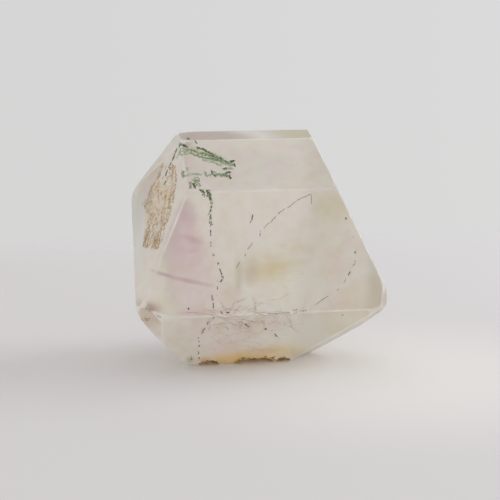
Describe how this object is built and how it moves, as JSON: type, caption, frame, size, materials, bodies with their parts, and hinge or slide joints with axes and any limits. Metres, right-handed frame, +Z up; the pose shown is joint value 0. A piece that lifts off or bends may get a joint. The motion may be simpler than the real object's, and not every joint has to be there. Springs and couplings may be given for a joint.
{
  "type": "polished fluorite freeform",
  "caption": "Clear polished fluorite freeform with flat ground faces, a flat base to stand on and small rough hollows along the base's front edge.",
  "frame": {"origin": "on the flat base, under the middle of the bounding box", "axes": "+Z up, -Y out of the broad front face, +X to the right of someone who looks at the front face"},
  "size_m": [0.0614, 0.038, 0.0544],
  "materials": {
    "fluorite": "polished clear crystal, pale beige with a lilac side, refractive index 1.434"
  },
  "bodies": {
    "root": {"fluorite_stone": "fluorite"}
  },
  "joints": []
}
